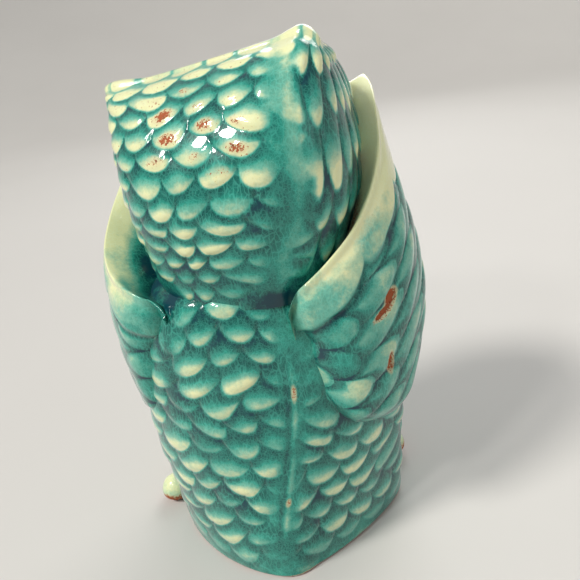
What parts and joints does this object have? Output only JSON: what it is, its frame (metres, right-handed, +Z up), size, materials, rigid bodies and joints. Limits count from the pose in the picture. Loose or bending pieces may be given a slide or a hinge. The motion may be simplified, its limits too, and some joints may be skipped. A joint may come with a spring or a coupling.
{
  "type": "owl figurine",
  "caption": "Hollow glazed ceramic owl with a ridge-topped head, ear tips, raised wings, overlapping scale feathers and splayed feet, made to stand on a shelf.",
  "frame": {"origin": "on the resting face, under the middle of the overall width and depth", "axes": "the owl faces -Y, its own right side is -X, +Z is up"},
  "size_m": [0.1071, 0.0836, 0.1682],
  "materials": {
    "turquoise_glaze": "clear crackled turquoise glaze, pale on raised edges and deep teal where it pools",
    "celadon_glaze": "the same glaze where it thins over rims and tips, pale celadon",
    "dark_glaze": "glaze pooled almost black in the pupils",
    "bare_clay": "unglazed red earthenware, dull"
  },
  "bodies": {
    "root": {"body_shell": "turquoise_glaze", "base_plug": "bare_clay", "head_shell": "turquoise_glaze", "ear_left": "celadon_glaze", "ear_right": "celadon_glaze", "face_disc_left": "celadon_glaze", "face_disc_right": "celadon_glaze", "eye_left": "turquoise_glaze", "eye_right": "turquoise_glaze", "pupil_left": "dark_glaze", "pupil_right": "dark_glaze", "beak": "celadon_glaze", "wing_left": "turquoise_glaze", "wing_right": "turquoise_glaze", "foot_left": "celadon_glaze", "foot_right": "celadon_glaze"}
  },
  "joints": []
}
